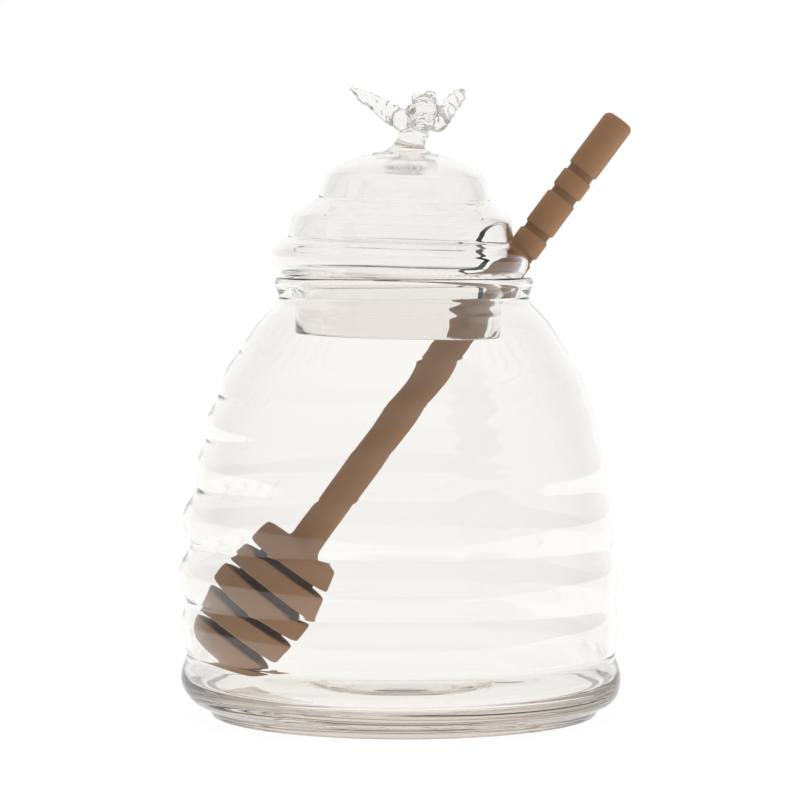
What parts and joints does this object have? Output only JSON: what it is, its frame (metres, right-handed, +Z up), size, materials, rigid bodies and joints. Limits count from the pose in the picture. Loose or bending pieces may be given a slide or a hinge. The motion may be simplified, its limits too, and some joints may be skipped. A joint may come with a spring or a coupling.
{
  "type": "honey pot",
  "caption": "Clear blown-glass beehive honey pot with ringed walls, a glass lid topped by a small glass bee, and a turned wooden honey dipper leaning out through a cut in the lid.",
  "frame": {"origin": "centre of the foot, on the surface the jar stands on", "axes": "+Z up, +X towards the side where the dipper's handle leans out, -Y is the front"},
  "size_m": [0.1067, 0.1038, 0.1475],
  "materials": {
    "glass": "polished",
    "wood": "matte"
  },
  "bodies": {
    "root": {"jar": "glass", "lid": "glass", "dipper": "wood"}
  },
  "joints": []
}
